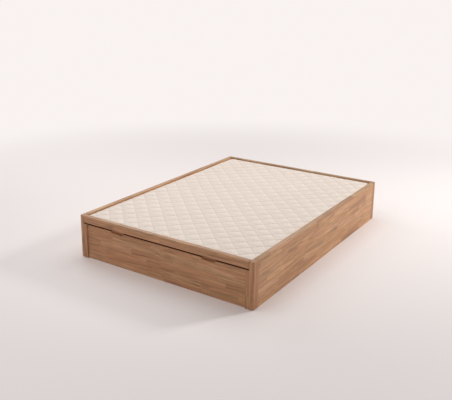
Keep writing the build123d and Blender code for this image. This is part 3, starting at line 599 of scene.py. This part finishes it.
def cut_outline(cloth, centre, half_x, half_y, corner_r):
    """Trims the flat cloth to a rectangle with round corners, by straight cuts."""
    for i in range(4 * CORNER_CUTS):
        angle = 2 * math.pi * i / (4 * CORNER_CUTS)
        normal = Vector((math.cos(angle), math.sin(angle), 0))
        corner_x = math.copysign(half_x - corner_r, normal.x)
        corner_y = math.copysign(half_y - corner_r, normal.y)
        edge = Vector((centre.x, centre.y, 0)) + Vector((corner_x, corner_y, 0)) + normal * corner_r
        geometry = cloth.verts[:] + cloth.edges[:] + cloth.faces[:]
        bmesh.ops.bisect_plane(cloth, geom=geometry, plane_co=edge, plane_no=normal, clear_outer=True,
                               dist=1e-6)


def seam_places(points):
    """For each point its distance to the nearest line of each family, and its place along the other."""
    u = (points[:, 0] + points[:, 1] - SHIFT_SUM) / math.sqrt(2)
    v = (points[:, 0] - points[:, 1] - SHIFT_DIFFERENCE) / math.sqrt(2)
    near_u = abs(u - np.round(u / CELL) * CELL)
    near_v = abs(v - np.round(v / CELL) * CELL)
    return u, v, near_u, near_v


def mesh_points(mesh):
    points = np.zeros(len(mesh.vertices) * 3)
    mesh.vertices.foreach_get("co", points)
    return points.reshape(-1, 3)


def applied(obj):
    """The object's mesh with its modifiers applied, and none left on it."""
    graph = bpy.context.evaluated_depsgraph_get()
    mesh = bpy.data.meshes.new_from_object(obj.evaluated_get(graph))
    obj.modifiers.clear()
    obj.data = mesh


def swell_by_air(obj, held):
    """Blows the cloth up between the sewn lines, which stay where they are."""
    group = obj.vertex_groups.new(name="sewn")
    group.add([int(i) for i in held], 1.0, "REPLACE")
    cloth = obj.modifiers.new("swell", "CLOTH")
    settings = cloth.settings
    settings.quality = 5
    settings.mass = 0.25
    settings.vertex_group_mass = "sewn"
    settings.use_pressure = True
    settings.uniform_pressure_force = AIR_PRESSURE
    settings.shrink_min = CLOTH_EASE
    settings.tension_stiffness = 20
    settings.compression_stiffness = 20
    settings.shear_stiffness = 8
    settings.bending_stiffness = 0.4
    settings.effector_weights.gravity = 0
    cloth.collision_settings.use_collision = False
    for step in range(1, SWELL_FRAMES + 1):
        bpy.context.scene.frame_set(step)
    applied(obj)
    bpy.context.scene.frame_set(1)


def wrap(points, centre, top, half_x, half_y):
    """Folds the flat cloth over the pad's edge: x and y are its flat place, z its height above it."""
    side = np.array([half_x - PAD_CORNER_R, half_y - PAD_CORNER_R])
    flat = points[:, :2] - np.array([centre.x, centre.y])
    past = np.maximum(abs(flat) - side, 0.0)
    length = np.linalg.norm(past, axis=1)
    inner_r = PAD_CORNER_R - PAD_EDGE_R
    over = np.maximum(length - inner_r, 0.0)
    outward = np.sign(flat) * past / np.maximum(length, 1e-9)[:, None]
    angle = np.minimum(over / PAD_EDGE_R, math.pi / 2)
    below = np.maximum(over - math.pi / 2 * PAD_EDGE_R, 0.0)
    placed = np.zeros_like(points)
    sideways = PAD_EDGE_R * np.sin(angle) - over + points[:, 2] * np.sin(angle)
    placed[:, :2] = points[:, :2] + outward * sideways[:, None]
    placed[:, 2] = top - PAD_EDGE_R * (1 - np.cos(angle)) - below + points[:, 2] * np.cos(angle)
    return placed, over


def puckers(points, near_u, near_v, u, v):
    """Small gathers that stand square to each stitch line and fade away from it."""
    lift = np.zeros(len(points))
    for i in range(len(points)):
        for near, along, across, seed in ((near_u[i], v[i], u[i], 3.1), (near_v[i], u[i], v[i], 8.7)):
            if near < PUCKER_REACH:
                fade = near / PUCKER_REACH
                wave = noise.noise(Vector((along / PUCKER_PITCH, across / PUCKER_LENGTH, seed)))
                lift[i] += PUCKER * wave * 4 * fade * (1 - fade)
    return lift


def quilted_pad():
    """The padded top: cloth swollen between its diamond stitch lines and folded down at the edge."""
    points, quads, centre, half_x, half_y, reach = cloth_points()
    low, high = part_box("quilted_pad")
    mesh = bpy.data.meshes.new("quilt")
    mesh.from_pydata(points.tolist(), [], quads.tolist())
    cloth = bmesh.new()
    cloth.from_mesh(mesh)
    cut_outline(cloth, centre, half_x, half_y, PAD_CORNER_R - PAD_EDGE_R + reach)
    if sum(f.normal.z for f in list(cloth.faces)[:50]) < 0:
        bmesh.ops.reverse_faces(cloth, faces=cloth.faces[:])
    cloth.to_mesh(mesh)
    cloth.free()
    pad = bpy.data.objects.new("quilt", mesh)
    bpy.context.scene.collection.objects.link(pad)

    points = mesh_points(mesh)
    _, _, near_u, near_v = seam_places(points)
    _, over = wrap(points, centre, 0.0, (high.x - low.x) / 2, (high.y - low.y) / 2)
    sewn = (np.minimum(near_u, near_v) < ON_SEAM) | (over > ON_SEAM)
    swell_by_air(pad, np.nonzero(sewn)[0])
    blown = mesh_points(pad.data)
    blown[:, 2] *= CROWN / np.percentile(blown[:, 2], CROWN_PERCENTILE)
    pad.data.vertices.foreach_set("co", blown.ravel())
    finer = pad.modifiers.new("finer", "SUBSURF")
    finer.levels = finer.render_levels = 1
    applied(pad)

    points = mesh_points(pad.data)
    u, v, near_u, near_v = seam_places(points)
    points[:, 2] += puckers(points, near_u, near_v, u, v)
    placed, _ = wrap(points, centre, high.z + SEAM_LIFT, (high.x - low.x) / 2, (high.y - low.y) / 2)
    placed[:, 2] = np.maximum(placed[:, 2], low.z)
    pad.data.vertices.foreach_set("co", placed.ravel())
    closed = bmesh.new()
    closed.from_mesh(pad.data)
    rim = [e for e in closed.edges if e.is_boundary]
    bmesh.ops.contextual_create(closed, geom=rim)
    bmesh.ops.recalc_face_normals(closed, faces=closed.faces[:])
    closed.to_mesh(pad.data)
    closed.free()
    for face in pad.data.polygons:
        face.use_smooth = len(face.vertices) <= 6
    pad.data.materials.clear()
    pad.data.materials.append(quilted_cloth("damask"))
    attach(pad, "lid")
    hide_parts("quilted_pad")
    return centre


def stitches(centre):
    """The sewing thread: a short slanting stitch every few millimetres along every line."""
    low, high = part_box("quilted_pad")
    outline_x = (high.x - low.x) / 2 - PAD_EDGE_R
    outline_y = (high.y - low.y) / 2 - PAD_EDGE_R
    reach = (outline_x + outline_y) / math.sqrt(2)
    lines = int(reach / CELL) + 1
    places = np.arange(-reach, reach, STITCH_PITCH)
    verts = []
    faces = []
    rng = random.Random(5)
    for family in (0, 1):
        for line in range(-lines, lines + 1):
            for place in places:
                u, v = (line * CELL, place) if family == 0 else (place, line * CELL)
                x = ((u + v) * math.sqrt(2) + SHIFT_SUM + SHIFT_DIFFERENCE) / 2
                y = ((u - v) * math.sqrt(2) + SHIFT_SUM - SHIFT_DIFFERENCE) / 2
                if abs(x - centre.x) > outline_x or abs(y - centre.y) > outline_y:
                    continue
                heading = Vector((1, -1 if family == 0 else 1, 0)).normalized()
                sideways = Vector((-heading.y, heading.x, 0)) * STITCH_RADIUS
                middle = Vector((x, y, high.z + SEAM_LIFT + STITCH_RADIUS * STITCH_HEIGHT))
                middle += sideways * rng.uniform(-STITCH_WANDER, STITCH_WANDER)
                half = heading * (STITCH_LENGTH / 2) + sideways * STITCH_SLANT
                first = len(verts)
                up = Vector((0, 0, STITCH_RADIUS))
                verts += [middle - half - up, middle + half - up, middle - sideways, middle + up,
                          middle + sideways, middle - up]
                for a, b in ((2, 3), (3, 4), (4, 5), (5, 2)):
                    faces.append((first, first + b, first + a))
                    faces.append((first + 1, first + a, first + b))
    mesh = bpy.data.meshes.new("stitches")
    mesh.from_pydata([tuple(p) for p in verts], [], faces)
    mesh.polygons.foreach_set("use_smooth", [True] * len(faces))
    mesh.materials.append(thread("thread"))
    piece = bpy.data.objects.new("quilt_stitches", mesh)
    bpy.context.scene.collection.objects.link(piece)
    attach(piece, "lid")


# Studio

def background(s, strength_elsewhere, colour_elsewhere):
    """Plain pale for the camera, mirrors and glass, and a soft dome of light for everything else."""
    rays = s.nodes.new("ShaderNodeLightPath")
    seen = s.nodes.new("ShaderNodeBackground")
    seen.inputs["Color"].default_value = (*PALE, 1)
    dome = s.nodes.new("ShaderNodeBackground")
    dome.inputs["Color"].default_value = (*colour_elsewhere, 1)
    dome.inputs["Strength"].default_value = strength_elsewhere
    first = s.nodes.new("ShaderNodeMath")
    first.operation = "MAXIMUM"
    s.links.new(rays.outputs["Is Camera Ray"], first.inputs[0])
    s.links.new(rays.outputs["Is Glossy Ray"], first.inputs[1])
    second = s.nodes.new("ShaderNodeMath")
    second.operation = "MAXIMUM"
    s.links.new(first.outputs[0], second.inputs[0])
    s.links.new(rays.outputs["Is Transmission Ray"], second.inputs[1])
    pick = s.nodes.new("ShaderNodeMixShader")
    s.links.new(second.outputs[0], pick.inputs[0])
    s.links.new(dome.outputs[0], pick.inputs[1])
    s.links.new(seen.outputs[0], pick.inputs[2])
    out = s.nodes.new("ShaderNodeOutputWorld")
    s.links.new(pick.outputs[0], out.inputs["Surface"])


def studio():
    """A pale floor that runs out into a pale background, a soft key light and three wide soft lights."""
    world = bpy.data.worlds.new("studio")
    world.use_nodes = True
    world.node_tree.nodes.clear()
    background(world.node_tree, DOME_STRENGTH, DOME_COLOUR)
    bpy.context.scene.world = world

    s = Shader("studio_floor")
    x, y, _ = s.place()
    from_middle = s.math("SQRT", s.math("ADD", s.math("MULTIPLY", x, x), s.math("MULTIPLY", y, y)))
    far = s.rise(from_middle, *FLOOR_FADE)
    paint = s.add("ShaderNodeBsdfDiffuse", {"Color": (*PALE, 1)})
    glow = s.add("ShaderNodeEmission", {"Color": (*PALE, 1)})
    rays = s.add("ShaderNodeLightPath").outputs
    mirrored = s.math("MAXIMUM", rays["Is Glossy Ray"], rays["Is Transmission Ray"])
    seen = s.math("MAXIMUM", rays["Is Camera Ray"], mirrored)
    pick = s.add("ShaderNodeMixShader", {"Fac": s.math("MULTIPLY", far, seen)})
    s.put(paint.outputs[0], pick.inputs[1])
    s.put(glow.outputs[0], pick.inputs[2])
    s.put(pick.outputs[0], s.output.inputs["Surface"])
    bpy.ops.mesh.primitive_circle_add(vertices=96, radius=FLOOR_RADIUS, fill_type="NGON",
                                      location=(0, 0, -FLOOR_DROP))
    floor = bpy.context.object
    floor.name = "studio_floor"
    floor.data.materials.append(s.material)

    for name, size, power, azimuth, elevation, distance, colour in LAMPS:
        light = bpy.data.lights.new(name, "AREA")
        light.shape = "SQUARE"
        light.size = size
        light.energy = power
        light.color = colour
        obj = bpy.data.objects.new(name, light)
        a = math.radians(azimuth)
        e = math.radians(elevation)
        towards = Vector((math.cos(a) * math.cos(e), math.sin(a) * math.cos(e), math.sin(e)))
        obj.location = distance * towards
        obj.rotation_euler = (-obj.location).to_track_quat("-Z", "Y").to_euler()
        bpy.context.scene.collection.objects.link(obj)


def camera():
    data = bpy.data.cameras.new("camera")
    data.sensor_width = SENSOR
    data.lens = FOCAL_PIXELS / IMAGE_WIDTH * SENSOR
    data.shift_x = (IMAGE_WIDTH / 2 - CENTRE_PIXEL[0]) / IMAGE_WIDTH
    data.shift_y = (CENTRE_PIXEL[1] - IMAGE_HEIGHT / 2) / IMAGE_WIDTH
    data.clip_start = 0.05
    data.clip_end = 200
    obj = bpy.data.objects.new("camera", data)
    to_view = (Matrix.Rotation(CAMERA_ROLL, 3, "Y") @ Matrix.Rotation(CAMERA_PITCH, 3, "X")
               @ Matrix.Rotation(CAMERA_YAW, 3, "Z"))
    turn = to_view.transposed() @ Matrix.Rotation(math.radians(90), 3, "X")
    obj.matrix_world = Matrix.Translation(CAMERA_PLACE) @ turn.to_4x4()
    bpy.context.scene.collection.objects.link(obj)
    bpy.context.scene.camera = obj


foot_boards(dress_nodes())
stitches(quilted_pad())
studio()
camera()
bpy.context.scene.view_settings.view_transform = "Standard"

bpy.context.view_layer.update()
